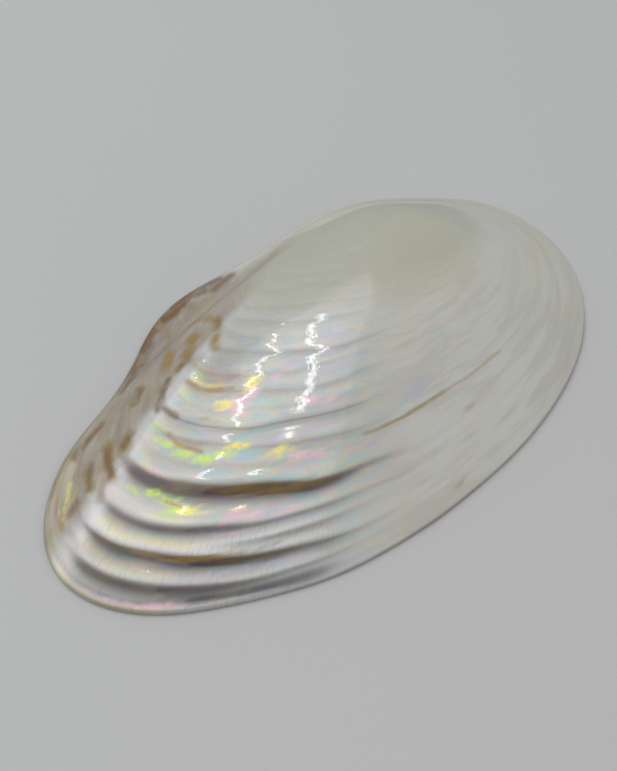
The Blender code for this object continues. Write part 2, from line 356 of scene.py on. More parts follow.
TEAL = [
    (.340, .490, 2.2, 1.8, .7), (.346, .368, 2.6, 1.0, .6), (.275, .480, 3.0, 1.4, .5),
    (.300, .440, 4.0, 1.4, .4), (.360, .470, 3.6, 2.0, .5), (.380, .440, 2.6, 1.6, .4),
    (.345, .180, 3.2, 1.0, .5), (.330, .270, 4.0, 1.0, .5), (.355, .300, 3.8, 1.2, .5),
    (.292, .208, 2.2, .7, .5), (.398, .74, 1.6, 2.6, .5), (.300, .385, 3.0, .9, .5),
    (.268, .020, 3.0, 1.0, .4), (.500, .372, 4.4, 3.0, .38), (.350, .470, 3.4, 2.2, .6),
    (.352, .330, 3.4, 1.8, .6),
]
VIOLET = [
    (.397, .720, 2.4, 2.6, .5), (.410, .700, 2.6, 2.4, .4), (.405, .640, 3.0, 1.4, .5),
    (.378, .172, 3.2, 1.3, .8),
    (.418, .560, 3.0, 1.6, .5), (.310, .386, 3.6, .9, .7), (.396, .146, 5.0, .6, .7),
    (.364, .060, 6.0, .8, .6), (.392, .056, 5.0, .7, .7), (.345, .315, 3.4, 1.0, .6),
    (.365, .345, 4.0, .9, .4), (.280, .395, 2.6, .9, .4), (.360, .610, 5.0, 1.2, .4),
    (.292, .160, 5.0, .8, .5), (.340, .148, 5.0, .7, .6), (.330, .018, 4.0, .5, .5),
    (.400, .365, 3.0, 1.2, .5), (.498, .368, 5.0, 3.4, .40),
]
# Streaks that cross the growth lines: kind, path of (place, age), half width
# (mm), strength.
STROKES = [
    ("brown", [(.236, .450), (.246, .425), (.254, .385)], 1.0, .90),
    ("brown", [(.203, .310), (.209, .290)], 1.3, .80),
    ("brown", [(.243, .285), (.246, .255)], 1.3, .75),
    ("ochre", [(.243, .270), (.247, .245)], 1.9, .80),
    ("brown", [(.229, .200), (.240, .200), (.251, .200)], 1.0, .75),
    ("ochre", [(.226, .205), (.240, .203), (.254, .196)], 1.8, .90),
    ("brown", [(.223, .140), (.240, .130)], .9, .65),
    ("brown", [(.237, .090), (.240, .070)], 1.1, .60),
    ("brown", [(.071, .150), (.072, .090), (.068, .005)], 1.7, 1.00),
    ("brown", [(.087, .035), (.116, .085)], 1.4, .75),
    ("brown", [(.112, .045), (.153, .120)], 1.2, .80),
    ("brown", [(.075, .420), (.076, .330), (.064, .180)], 1.4, .80),
    ("brown", [(.189, .135), (.189, .085), (.193, .055)], .9, .80),
    ("brown", [(.250, .395), (.262, .400), (.276, .404)], .7, .75),
    ("brown", [(.236, .545), (.241, .500)], .8, .55),
    ("ochre", [(.234, .550), (.238, .500)], 1.6, .90),
    ("ochre", [(.140, .390), (.177, .565), (.224, .715)], 1.1, .75),
    ("ochre", [(.224, .715), (.252, .710), (.264, .645)], 1.2, .95),
    ("brown", [(.226, .712), (.240, .716)], .8, .50),
    ("ochre", [(.210, .565), (.224, .555), (.238, .530)], 1.7, 1.00),
    ("ochre", [(.194, .425), (.211, .440)], 1.6, .95),
    ("ochre", [(.265, .505), (.279, .505), (.292, .510), (.310, .525)], .7, .90),
    ("ochre", [(.278, .355), (.290, .340), (.312, .333)], .55, .90),
    ("ochre", [(.300, .207), (.316, .198)], .35, .70),
    ("ochre", [(.446, .303), (.456, .3005), (.466, .2995)], .40, .60),
    ("ochre", [(.464, .2990), (.484, .3020), (.505, .3030), (.524, .3050)], .40, .78),
    ("ochre", [(.520, .3045), (.536, .3065), (.552, .3025), (.568, .3005),
               (.591, .2950)], .36, .46),
    ("brown", [(.090, .003), (.070, .004), (.056, .020), (.042, .055)], 1.9, 1.0),
    ("brown", [(.042, .055), (.046, .110), (.052, .200), (.064, .310)], 1.7, .90),
    ("ochre", [(.078, .030), (.072, .060), (.062, .110)], 1.3, .90),
    ("purple", [(.050, .110), (.066, .250), (.088, .420)], 2.4, .70),
    ("ochre", [(.225, .125), (.244, .140)], 1.1, .70),
    ("ochre", [(.066, .060), (.070, .015), (.084, .015)], 1.3, .80),
    ("ochre", [(.248, .185), (.256, .145)], 1.0, .60),
    ("ochre", [(.100, .150), (.150, .290), (.190, .420)], .9, .55),
    ("purple", [(.087, .035), (.096, .015), (.116, .020)], 2.8, .80),
    ("purple", [(.249, .560), (.279, .580), (.304, .570)], 2.2, .45),
    ("purple", [(.191, .220), (.203, .180)], 2.4, .50),
    ("purple", [(.089, .310), (.095, .195)], 2.2, .70),
    ("purple", [(.242, .110), (.250, .065)], 1.6, .50),
    ("purple", [(.236, .425), (.244, .375)], 2.0, .50),
    ("purple", [(.120, .210), (.160, .340), (.200, .480)], 1.6, .40),
    # the two yellow streaks and the two small creamy rings below are painted highlights; the rings
    # stand where ridges cross the crest
    ("yellow", [(.215, .070), (.226, .065), (.236, .050)], .45, .60),
    ("yellow", [(.267, .515), (.285, .520), (.301, .535)], .5, .80),
    ("cream_and_highlight", [(.2665, .124), (.2680, .135), (.2730, .139), (.2785, .135),
               (.2800, .124), (.2780, .115), (.2725, .111), (.2680, .115),
               (.2665, .124)], .50, 1.0),
    ("cream_and_highlight", [(.2635, .079), (.2675, .087), (.2715, .080), (.2675, .073),
               (.2635, .079)], .45, .9),
]
MARKS = {"brown": BROWN, "purple": PURPLE, "ochre": OCHRE, "lime": LIME,
         "yellow": YELLOW, "pink": PINK, "teal": TEAL, "violet": VIOLET}


def wobble(x, y, seed):
    """A cheap smooth noise, -1..1, from a few fixed sine waves."""
    rng = np.random.RandomState(seed)
    total = 0.0
    for k in range(6):
        angle = rng.uniform(0, 2 * pi)
        pitch = rng.uniform(0.6, 1.9)
        total = total + np.sin((x * cos(angle) + y * sin(angle)) * pitch
                               + rng.uniform(0, 2 * pi))
    return total / 3.2


def mark_mask(spots, where, ages, along_mm, across_mm, seed):
    """0..1 mask of soft-edged, slightly ragged spots."""
    mask = np.zeros((len(ages), len(where)))
    rag = wobble(np.cumsum(along_mm, axis=1) * 1.1,
                 np.cumsum(across_mm, axis=0) * 2.2, seed)
    arc = np.cumsum(along_mm, axis=1)
    row = np.cumsum(across_mm, axis=0)
    for place, age, half_long, half_wide, power in spots:
        i = int(np.clip(np.searchsorted(ages, age), 0, len(ages) - 1))
        j = int(np.clip(np.searchsorted(where, place), 0, len(where) - 1))
        du = (arc - arc[:, j:j + 1]) / half_long
        dv = (row - row[i:i + 1, :]) / half_wide
        far = np.sqrt(du ** 2 + dv ** 2) * (1 + 0.34 * rag)
        mask = np.maximum(mask, power * (1 - smooth(far, 0.25, 1.25)))
    return mask


def stroke_mask(path, half, power, where, ages, points):
    """0..1 mask of a soft line through the given (place, age) points, measured
    on the shell in millimetres; a path that closes on itself is a small ring."""
    knots = []
    for place, age in path:
        i = int(np.clip(np.searchsorted(ages, age), 0, len(ages) - 1))
        j = int(np.clip(np.searchsorted(where, place), 0, len(where) - 1))
        knots.append(points[i, j])
    far = np.full(points.shape[:2], 1e9)
    for start, end in zip(knots[:-1], knots[1:]):
        arm = end - start
        t = ((points - start) @ arm) / max(float(arm @ arm), 1e-6)
        nearest = start + np.clip(t, 0, 1)[:, :, None] * arm
        far = np.minimum(far, np.linalg.norm(points - nearest, axis=2))
    rag = wobble(points[:, :, 0] * 1.3, points[:, :, 1] * 1.3, 31)
    return power * (1 - smooth(far / half * (1 + 0.25 * rag), 0.15, 1.75))


# ------------------------------------------------------------------ the mesh
def column_places():
    """Places round the rim, closer together at the posterior end."""
    fine = np.linspace(0, 1, 4001)
    density = 1 + 1.1 * smooth(fine, .14, .22) * (1 - smooth(fine, .46, .60))
    total = np.concatenate([[0], np.cumsum(0.5 * (density[1:] + density[:-1]))])
    return np.interp(np.arange(COLUMNS) / COLUMNS, total / total[-1], fine)


def row_ages():
    """Growth ages of the outer rows: fine near the rim, coarser at the beak."""
    rows = [0.0045]
    while rows[-1] < 2.60:
        a = rows[-1]
        step = 0.0042 + 0.0030 * smooth(np.array(a), .35, .75)
        step = float(step) + 0.034 * float(smooth(np.array(a), .85, 2.2))
        rows.append(a + step)
    rows[-1] = 2.60
    return np.array(rows)


def seat_width(rim):
    t = np.clip((rim[:, 1] - 27.0) / 13.0, 0, 1)
    return RIM_WIDTH + (HINGE_WIDTH - RIM_WIDTH) * t * t * (3 - 2 * t)


def drawn_in(points, rim, width):
    """Plan points drawn in towards the dome centre by a width at the rim."""
    arm = rim - DOME_CENTRE
    angle = np.arctan2(arm[:, 1], arm[:, 0])
    ratio = 1 - width / np.hypot(arm[:, 0], arm[:, 1])
    order = np.argsort(angle)
    a = points[..., :2] - DOME_CENTRE
    at = np.arctan2(a[..., 1], a[..., 0])
    scale = np.interp(at, angle[order], ratio[order], period=2 * pi)
    return DOME_CENTRE + a * scale[..., None]


def surface_normals(points):
    """Unit normals of a grid (rows, round, 3) that is closed round."""
    round_step = np.roll(points, -1, axis=1) - np.roll(points, 1, axis=1)
    row_step = np.gradient(points, axis=0)
    normal = np.cross(round_step, row_step)
    normal /= np.linalg.norm(normal, axis=2, keepdims=True) + 1e-12
    return normal


def outer_grid(where, rim):
    ages = row_ages()
    points = growth_surface(rim, ages)
    points[:, :, 2] += EDGE_THICKNESS - INSET
    points[:, :, 2] += beak_fill(points, ages)
    normal = surface_normals(points)
    if normal[20, 100, 2] < 0:
        normal = -normal
    along = np.linalg.norm(np.roll(points, -1, 1) - points, axis=2)
    across = np.linalg.norm(np.gradient(points, axis=0), axis=2)
    per_age = across / np.gradient(ages)[:, None]
    height, groove, strength, face, cream_and_highlight = relief(where, ages, per_age)
    beyond = 1 - 0.72 * (1 - smooth(where, .238, .268)) * smooth(where, .02, .08)
    lit = smooth(where, .250, .274) * (1 - 0.55 * smooth(where, .420, .455))
    height, groove = height * beyond, groove * (0.22 + 0.78 * lit)
    height = height * (1 - 0.5 * smooth(ages, .27, .36))[:, None]
    # face from relief() is the painted shade on the ridges' outer faces
    face = face * beyond * (0.25 + 0.75 * lit)
    face = face * (1 - 0.45 * smooth(ages, .265, .33))[:, None]

    # the ridge that runs from the beak to the posterior end, with a shallow
    # trough on its upper side
    s = where[None, :]
    a = ages[:, None]
    fade = 1 - smooth(a, .50, 1.0)
    crest = .258 + 0 * a
    ridge = np.exp(-((s - crest) / .0105) ** 2) * 0.50
    trough = np.exp(-((s - (crest - .046)) / .026) ** 2) * -0.95
    second = np.exp(-((s - (crest + .030)) / .016) ** 2) * -0.15
    shape = (ridge + trough + second) * fade * smooth(a, 0.0, 0.09)
    # gentle uneven swelling of a grown surface, and fine growth lines
    arc = np.cumsum(along, axis=1)
    run = np.cumsum(across, axis=0)
    uneven = wobble(s * 45 + 0 * a, a * 26 + 0 * s, 5) * 0.022
    uneven = uneven + wobble(s * 110 + 0 * a, a * 60 + 0 * s, 8) * 0.007
    lines = (np.sin(2 * pi * (a / 0.0155 + 0.6 * wobble(s * 9, a * 18, 3)))
             * 0.009 * np.clip(strength - .12, 0.0, 1))
    lines = lines + (np.sin(2 * pi * (a / 0.027 + 0.9 * wobble(s * 7, a * 9, 4)))
                     * 0.014 * np.clip(strength - .05, 0.0, 1))
    near_rim = smooth(a, 0.0045, 0.02)
    total = height + shape + (uneven + lines) * near_rim
    total = total - 0.30 * smooth(a, 0.0045, 0.11)
    # never proud of the solid near the rim, hardly so elsewhere
    total = np.where(a < 0.10, np.minimum(total, 0.35 * smooth(a, .03, .10)), total)
    total = np.clip(total, -1.6, 0.5) * smooth(a, 0.003, 0.012)
    total = total * (1 - smooth(a, 2.2, 2.7) * 0.8)
    moved = points + normal * total[:, :, None]
    marks = {name: mark_mask(spots, where, ages, along, across, 20 + i)
             for i, (name, spots) in enumerate(MARKS.items())}
    marks["cream_and_highlight"] = cream_and_highlight
    for name, path, half, power in STROKES:
        marks[name] = np.maximum(marks[name],
                                 stroke_mask(path, half, power, where, ages, points))
    return ages, moved, groove, face, marks


def rim_rows(rim):
    """The blunt, slightly rounded edge from the seat up to the outer rows."""
    rows = []
    centre = DOME_CENTRE
    for z, inset in ((0.0, .35), (.10, .14), (.28, .04), (.55, .0), (.82, .02)):
        arm = rim - centre
        reach = np.hypot(arm[:, 0], arm[:, 1])[:, None]
        plan = centre + arm * (1 - inset / reach)
        rows.append(np.column_stack([plan, np.full(len(rim), z)]))
    return np.array(rows)


def inner_grid(where, rim):
    """From the seat's inner edge up into the hollow, with the marks that the
    animal leaves: pallial line and muscle scars."""
    deepest = -np.log(BEAK_START)
    k = np.arange(INNER_ROWS + 1) / INNER_ROWS
    ages = deepest * k ** 1.25
    points = growth_surface(rim, ages)
    z = points[:, :, 2]
    gain = WALL_THICKNESS - EDGE_THICKNESS
    inside = z - gain * (1 - np.exp(-z / WALL_RISE))
    inner = np.concatenate([drawn_in(points, rim, seat_width(rim)),
                            inside[:, :, None]], axis=2)
    a = ages[:, None]
    s = where[None, :]
    x, y = inner[:, :, 0], inner[:, :, 1]
    carve = np.zeros_like(x)
    # pallial line: a fine step that follows the free edge
    free = smooth(s, .20, .27) * (1 - smooth(s, .78, .84))
    carve += -0.22 * smooth(a, .105, .125) * free * (1 - smooth(a, .9, 1.3))
    carve += 0.12 * np.exp(-((a - .105) / .010) ** 2) * free
    # scars of the two closing muscles and the small foot muscle
    scar = np.zeros_like(x)
    for cx, cy, rx, ry in ((57.0, 13.0, 7.5, 9.0), (-35.0, 16.0, 9.5, 7.0),
                           (51.5, 24.0, 2.6, 2.2)):
        far = np.sqrt(((x - cx) / rx) ** 2 + ((y - cy) / ry) ** 2)
        carve += 0.30 * (1 - smooth(far, .82, 1.05))
        scar = np.maximum(scar, 1 - smooth(far, .8, 1.1))
    carve += (wobble(x * .5, y * .5, 9) * .05 + wobble(x * .19, y * .19, 10) * .10)
    inner[:, :, 2] += np.clip(carve, -.5, .5) * smooth(a, .0, .05)
    last, before = inner[-1], inner[-2]
    middle = last.mean(axis=0)
    bulge = (last - before).mean(axis=0) * 1.2
    rings = []
    for j in range(1, CAP_ROWS):
        t = j / CAP_ROWS
        rings.append(middle + (last - middle) * (1 - t)
                     + bulge * (1 - (1 - t) ** 2))
    ages = np.concatenate([ages, deepest + 0.05 * np.arange(1, CAP_ROWS)])
    scar = np.concatenate([scar, np.zeros((CAP_ROWS - 1, scar.shape[1]))])
    return ages, np.concatenate([inner, np.array(rings)]), middle + bulge, scar


def build_valve():
    where = column_places()
    rim = outline(where)
    ages, outer, groove, face, marks = outer_grid(where, rim)
    edge = rim_rows(rim)
    in_ages, inner, in_tip, scar = inner_grid(where, rim)
    # the seat between the two, softened at its inner edge
    seat = []
    start, end = edge[0], inner[0]
    for t, z in ((.33, 0.0), (.66, 0.0), (.90, .02)):
        row = start + (end - start) * t
        row[:, 2] = z
        seat.append(row)
    inner[0][:, 2] = .12
    sections = np.concatenate([inner[::-1], np.array(seat)[::-1], edge, outer])
    rows = len(sections)
    n_in, n_seat, n_edge = len(inner), len(seat), len(edge)
    first_outer = n_in + n_seat + n_edge
    tip = outer[-1].mean(axis=0)
    verts = np.concatenate([sections.reshape(-1, 3), in_tip[None], tip[None]])
    base = np.arange(rows * COLUMNS).reshape(rows, COLUMNS)
    nxt = np.roll(base, -1, axis=1)
    quads = np.stack([base[:-1], nxt[:-1], nxt[1:], base[1:]], axis=2).reshape(-1, 4)
    tri_in = np.stack([nxt[0], base[0],
                       np.full(COLUMNS, rows * COLUMNS)], axis=1)
    tri_out = np.stack([base[-1], nxt[-1],
                        np.full(COLUMNS, rows * COLUMNS + 1)], axis=1)
    data = bpy.data.meshes.new("mussel_nacre")
    loops = np.concatenate([quads.ravel(), tri_in.ravel(), tri_out.ravel()])
    counts = np.concatenate([np.full(len(quads), 4),
                             np.full(len(tri_in) + len(tri_out), 3)])
    data.vertices.add(len(verts))
    data.vertices.foreach_set("co", (verts * MM).astype(np.float32).ravel())
    data.loops.add(len(loops))
    data.loops.foreach_set("vertex_index", loops.astype(np.int32))
    data.polygons.add(len(counts))
    begin = np.concatenate([[0], np.cumsum(counts)[:-1]])
    data.polygons.foreach_set("loop_start", begin.astype(np.int32))
    data.update(calc_edges=True)
    data.validate()
    data.shade_smooth()

    def full(outer_part, inner_part=None, rest=0.0):
        """Values for every point; the blunt edge takes the first outer row's
        values and at least the given rest."""
        value = np.zeros((rows, COLUMNS))
        value[first_outer:] = outer_part
        value[n_in + n_seat:first_outer] = np.maximum(outer_part[:1], rest)
        if inner_part is not None:
            value[:n_in] = inner_part[::-1]
        return np.concatenate([value.ravel(), [0.0, 0.0]])

    age = full(np.repeat(ages[:, None], COLUMNS, axis=1),
               np.repeat(in_ages[:, None], COLUMNS, axis=1))
    age[-2], age[-1] = in_ages[-1], ages[-1]
    place = np.concatenate([np.tile(where, rows), [0.0, 0.0]])
    ring = np.stack([np.cos(2 * pi * place), np.sin(2 * pi * place), age], axis=1)
    ring[-2:, :2] = 0.0
    layer = data.attributes.new("ring", "FLOAT_VECTOR", "POINT")
    layer.data.foreach_set("vector", ring.astype(np.float32).ravel())

    s = where[None, :]
    a = ages[:, None]
    silver = (smooth(s, .236, .262) * (1 - smooth(s, .415, .50))
              * (1 - 0.75 * smooth(a, .60, 1.05)))
    slope = (smooth(s, .055, .11) * (1 - smooth(s, .236, .262))
             * (1 - smooth(a, .75, 1.15)))
    olive = smooth(a, .74 - .10 * smooth(s, .30, .50), 1.02) * (1 + 0 * s)
    inside = np.concatenate([np.ones(n_in * COLUMNS),
                             np.zeros((rows - n_in) * COLUMNS), [1.0, 0.0]])
    # outside: creamy ridge tops and painted highlights; inside: muscle scars
    special = full(marks["cream_and_highlight"], scar)    # outside creamy tops, inside scars
    # painted highlight: a light band along the crest of the posterior ridge
    crest = (np.exp(-((s - .255) / .0085) ** 2) * smooth(a, .01, .06)
             * (1 - smooth(a, .45, .85)))
    channels = {
        # painted shadow: the blunt edge all round holds at least 0.45 of the groove film, a dark
        # line where the rim meets the floor
        "stain": (full(marks["brown"]), full(marks["purple"]),
                  full(marks["ochre"]), full(groove, rest=.45)),
        # painted iridescent highlights
        "painted_sheen": (full(marks["lime"]), full(marks["yellow"]),
                  full(marks["pink"]), full(marks["teal"])),
        "zone": (full(silver + 0 * groove), full(slope + 0 * groove),
                 full(olive + 0 * groove), full(marks["violet"])),
        # face carries the painted shade on the ridges' outer faces
        "within": (inside, special, full(crest), full(face)),
    }
    for name, parts in channels.items():
        layer = data.attributes.new(name, "FLOAT_COLOR", "POINT")
        layer.data.foreach_set("color", np.stack(parts, axis=1)
                               .astype(np.float32).ravel())
    valve = bpy.data.objects.new("mussel_nacre", data)
    bpy.context.scene.collection.objects.link(valve)
    return valve


# ------------------------------------------------------------------ materials
class Net:
    """Small helper that strings shader nodes together."""

    def __init__(self, name):
        self.material = bpy.data.materials.new(name)
        self.material.use_nodes = True
        self.nodes = self.material.node_tree.nodes
        self.links = self.material.node_tree.links
        self.shader = self.nodes["Principled BSDF"]

    def add(self, kind, **settings):
        node = self.nodes.new(kind)
        for key, value in settings.items():
            setattr(node, key, value)
        return node

    def put(self, socket, value):
        if hasattr(value, "is_output") or isinstance(value, bpy.types.NodeSocket):
            self.links.new(value, socket)
        else:
            socket.default_value = value

    def math(self, how, a, b=0.0, c=0.0, clamp=False):
        node = self.add("ShaderNodeMath", operation=how, use_clamp=clamp)
        for socket, value in zip(node.inputs, (a, b, c)):
            self.put(socket, value)
        return node.outputs[0]

    def vmul(self, vector, factors):
        node = self.add("ShaderNodeVectorMath", operation="MULTIPLY")
        self.put(node.inputs[0], vector)
        self.put(node.inputs[1], factors)
        return node.outputs[0]

    def vadd(self, a, b):
        node = self.add("ShaderNodeVectorMath", operation="ADD")
        self.put(node.inputs[0], a)
        self.put(node.inputs[1], b)
        return node.outputs[0]

    def noise(self, vector, scale=1.0, detail=2.0, rough=0.5, distort=0.0):
        node = self.add("ShaderNodeTexNoise", noise_dimensions="3D")
        self.put(node.inputs["Vector"], vector)
        node.inputs["Scale"].default_value = scale
        node.inputs["Detail"].default_value = detail
        node.inputs["Roughness"].default_value = rough
        node.inputs["Distortion"].default_value = distort
        return node.outputs["Fac"]

    def mix(self, factor, a, b, blend="MIX"):
        node = self.add("ShaderNodeMix", data_type="RGBA", blend_type=blend,
                        clamp_factor=True)
        self.put(node.inputs[0], factor)
        self.put(node.inputs[6], a)
        self.put(node.inputs[7], b)
        return node.outputs[2]

    def steps(self, factor, stops, mode="LINEAR"):
        node = self.add("ShaderNodeValToRGB")
        ramp = node.color_ramp
        ramp.interpolation = mode
        while len(ramp.elements) > 1:
            ramp.elements.remove(ramp.elements[-1])
        ramp.elements[0].position, ramp.elements[0].color = stops[0]
        for place, colour in stops[1:]:
            ramp.elements.new(place).color = colour
        self.put(node.inputs[0], factor)
        return node.outputs["Color"]

    def map(self, value, low, high, to_low=0.0, to_high=1.0, kind="SMOOTHSTEP"):
        node = self.add("ShaderNodeMapRange", interpolation_type=kind)
        self.put(node.inputs["Value"], value)
        for key, number in (("From Min", low), ("From Max", high),
                            ("To Min", to_low), ("To Max", to_high)):
            self.put(node.inputs[key], number)
        return node.outputs["Result"]

    def attribute(self, name):
        return self.add("ShaderNodeAttribute", attribute_name=name)

    def bump(self, height, distance, strength=1.0, normal=None):
        node = self.add("ShaderNodeBump")
        node.inputs["Strength"].default_value = strength
        node.inputs["Distance"].default_value = distance
        self.put(node.inputs["Height"], height)
        if normal is not None:
            self.put(node.inputs["Normal"], normal)
        return node.outputs["Normal"]


def grey(v):
    return (v, v, v, 1.0)


def nacre_material():
    net = Net("nacre")
    shader = net.shader
    ring = net.attribute("ring").outputs["Vector"]
    place = net.add("ShaderNodeTexCoord").outputs["Object"]

    def channels(name):
        node = net.attribute(name)
        split = net.add("ShaderNodeSeparateColor")
        net.links.new(node.outputs["Color"], split.inputs[0])
        return (split.outputs[0], split.outputs[1], split.outputs[2],
                node.outputs["Alpha"])

    brown, purple, ochre, groove = channels("stain")
    # lime, yellow, pink, teal and violet carry painted iridescent highlights
    lime, yellow, pink, teal = channels("painted_sheen")
    silver, slope, olive, violet = channels("zone")
    # scar holds muscle scars inside and creamy ridge tops with painted highlights outside; crest
    # is a painted highlight; face is painted shade
    inside, scar, crest, face = channels("within")

    # noises in growth coordinates: long along the growth lines, short across
    bands = net.noise(net.vmul(ring, (2.6, 2.6, 24.0)), 1.0, 3.0, 0.55)
    fine_bands = net.noise(net.vmul(ring, (6.0, 6.0, 90.0)), 1.0, 2.0, 0.5)
    streaky = net.noise(net.vmul(ring, (9.0, 9.0, 40.0)), 1.0, 3.0, 0.6, 0.4)
    spread = net.noise(place, 34.0, 3.0, 0.55)
    cloud = net.noise(net.vadd(place, (0.31, 0.12, 0.57)), 70.0, 3.0, 0.55)
    grain = net.noise(place, 520.0, 2.0, 0.5)

    age = net.add("ShaderNodeSeparateXYZ")
    net.put(age.inputs[0], ring)
    age = age.outputs[2]

    def towards(where):
        """How far a point lies on the given side of the valve: -1 to 1."""
        node = net.add("ShaderNodeVectorMath", operation="DOT_PRODUCT")
        net.put(node.inputs[0], ring)
        node.inputs[1].default_value = (cos(2 * pi * where), sin(2 * pi * where), 0)
        return node.outputs["Value"]

    worn = net.math("MULTIPLY", net.map(age, .55, 1.25, 1.0, .12),
                    net.math("SUBTRACT", 1.0,
                             net.math("MULTIPLY", net.map(towards(.80), .2, .9, 0, .8),
                                      net.map(age, .18, .60))))

    # body colour of the plain front part: cream to cool grey, in soft bands
    body = net.mix(net.map(spread, .35, .65), (.600, .568, .475, 1),
                   (.605, .615, .565, 1))
    front = net.map(towards(.76), .30, .95, 0, .30)
    body = net.mix(front, body, (.490, .480, .425, 1))
    # painted light: the belly side near the rim is lightened
    belly = net.math("MULTIPLY", net.map(towards(.52), .55, .95, 0, .34),
                     net.map(age, .10, .35, 1.0, 0.0))
    body = net.mix(belly, body, (.700, .680, .630, 1))
    body = net.mix(net.math("MULTIPLY", olive, .85), body, (.450, .445, .345, 1))
    body = net.mix(net.math("MULTIPLY", worn, net.map(bands, .42, .60, 0, .42)),
                   body, (.470, .450, .385, 1))
    rimward = net.math("MULTIPLY", net.map(towards(.74), .45, .90, 0, .45),
                       net.map(age, .06, .13, 1.0, 0.0))
    body = net.mix(rimward, body, (.470, .450, .400, 1))
    body = net.mix(net.math("MULTIPLY", worn, net.map(fine_bands, .50, .70, 0, .14)),
                   body, (.69, .69, .63, 1))
    blush = net.map(net.noise(net.vmul(ring, (3.0, 3.0, 22.0)), 1.0, 2.0), .52, .66)
    body = net.mix(net.math("MULTIPLY", net.math("MULTIPLY", blush, worn), .34),
                   body, (.62, .50, .46, 1))

    # silvery mother-of-pearl of the posterior part; its shifting pastel hues are painted
    # iridescent sheen
    hue = net.noise(net.vmul(ring, (6.0, 6.0, 44.0)), 1.0, 2.0, 0.5, 0.3)
    pastel = net.steps(hue, [
        (0.26, (.44, .52, .62, 1)), (0.36, (.58, .46, .62, 1)),
        (0.43, (.68, .50, .50, 1)), (0.49, (.66, .64, .40, 1)),
        (0.55, (.48, .64, .46, 1)), (0.62, (.40, .60, .60, 1)),
        (0.72, (.50, .48, .68, 1)), (0.80, (.66, .50, .56, 1))])
    plain = net.mix(net.map(bands, .38, .64), (.440, .465, .462, 1),
                    (.555, .555, .525, 1))
    pearl = net.mix(net.map(cloud, .42, .60, .12, .66), plain, pastel)
    fleck = net.noise(place, 1500.0, 1.0, .5)
    pearl = net.mix(net.map(fleck, .40, .62, 0, .09), pearl, (.30, .32, .35, 1))
    # lighter towards the rim; creamy ridge tops with painted highlights; faint dark
    # ribs that cross the ridges near the rim
    ribbing = net.noise(net.vmul(ring, (130.0, 130.0, 30.0)), 1.0, 3.0, .6)
    young = net.math("MULTIPLY", net.map(age, .10, .24, 1.0, .04),
                     net.map(towards(.28), .45, .85, .35, 1.0))
    pearl = net.mix(net.math("MULTIPLY", young, .88), pearl, (.900, .895, .845, 1))
    # creamy ridge tops, the rim band and two rings: partly painted highlight
    cream_and_highlight = net.math("MULTIPLY", scar, net.map(ribbing, .36, .56, .78, 1.0))
    pearl = net.mix(cream_and_highlight, pearl, (.960, .890, .600, 1))
    pearl = net.mix(net.math("MULTIPLY", net.map(ribbing, .50, .68, 0, .24), young),
                    pearl, (.24, .26, .29, 1))
    # painted shade: dark blue-grey to brown on the outer face of each ridge
    shade = net.math("MULTIPLY", face, net.map(bands, .34, .60, .86, 1.0))
    pearl = net.mix(shade, pearl, net.mix(net.map(streaky, .36, .62),
                                          (.050, .058, .085, 1), (.088, .078, .062, 1)))
    silver = net.math("MULTIPLY", silver, 1.0, clamp=True)
    colour = net.mix(silver, body, pearl)

    # the posterior slope above the crest: grey-lilac nacre
    lilac = net.mix(net.map(streaky, .34, .64), (.360, .300, .195, 1),
                    (.425, .375, .275, 1))
    lilac = net.mix(net.map(cloud, .44, .62, 0, .52), lilac, (.395, .335, .335, 1))
    colour = net.mix(net.math("MULTIPLY", slope, .90), colour, lilac)
    # painted highlight along the crest
    colour = net.mix(net.math("MULTIPLY", crest, .80), colour, (.680, .670, .680, 1))

    # painted iridescent highlights: bright patches of sheen, broken up along the growth lines
    broken = net.math("MULTIPLY", net.map(streaky, .34, .52, .60, 1.0),
                      net.map(net.noise(place, 900.0, 2.0, .6), .38, .58, .50, 1.0))
    for mask, tint, power in ((teal, (.28, .56, .52, 1), .75),
                              (violet, (.50, .44, .72, 1), .75),
                              (pink, (.88, .50, .64, 1), .88),
                              (lime, (.56, .84, .10, 1), 1.0),
                              (yellow, (.96, .82, .16, 1), 1.0)):
        colour = net.mix(net.math("MULTIPLY", net.math("MULTIPLY", mask, broken),
                                  power), colour, tint)

    # grooves: grey-brown film left in the growth rests; on the blunt edge the same film is a
    # painted shadow
    dirt = net.math("MULTIPLY", groove, net.map(streaky, .30, .60, .60, 1.0))
    film = net.mix(net.map(net.noise(net.vmul(ring, (4.0, 4.0, 30.0)), 1.0, 2.0),
                           .40, .60), (.105, .068, .070, 1), (.150, .105, .040, 1))
    colour = net.mix(net.math("MINIMUM", dirt, .90), colour, film)

    # remains of the dark outer skin
    ragged = net.map(net.noise(place, 300.0, 2.0, .5, .4), .30, .56, .60, 1.0)
    colour = net.mix(net.math("MULTIPLY", net.math("MULTIPLY", purple, ragged), .80),
                     colour, (.260, .185, .175, 1))
    colour = net.mix(net.math("MULTIPLY", net.math("MULTIPLY", ochre, ragged), .92),
                     colour, (.320, .198, .042, 1))
    colour = net.mix(net.math("MULTIPLY", net.math("MULTIPLY", brown, ragged), .94),
                     colour, (.165, .088, .036, 1))

    # inside of the valve: white to salmon nacre, duller muscle scars
    lining = net.steps(net.noise(net.vmul(ring, (3.0, 3.0, 5.0)), 1.0, 3.0, .5, .5), [
        (.30, (.60, .62, .60, 1)), (.45, (.70, .62, .57, 1)),
        (.55, (.66, .66, .58, 1)), (.66, (.58, .60, .66, 1))])
    lining = net.mix(net.math("MULTIPLY", scar, .5), lining, (.50, .47, .40, 1))
    colour = net.mix(inside, colour, lining)
    net.put(shader.inputs["Base Color"], colour)

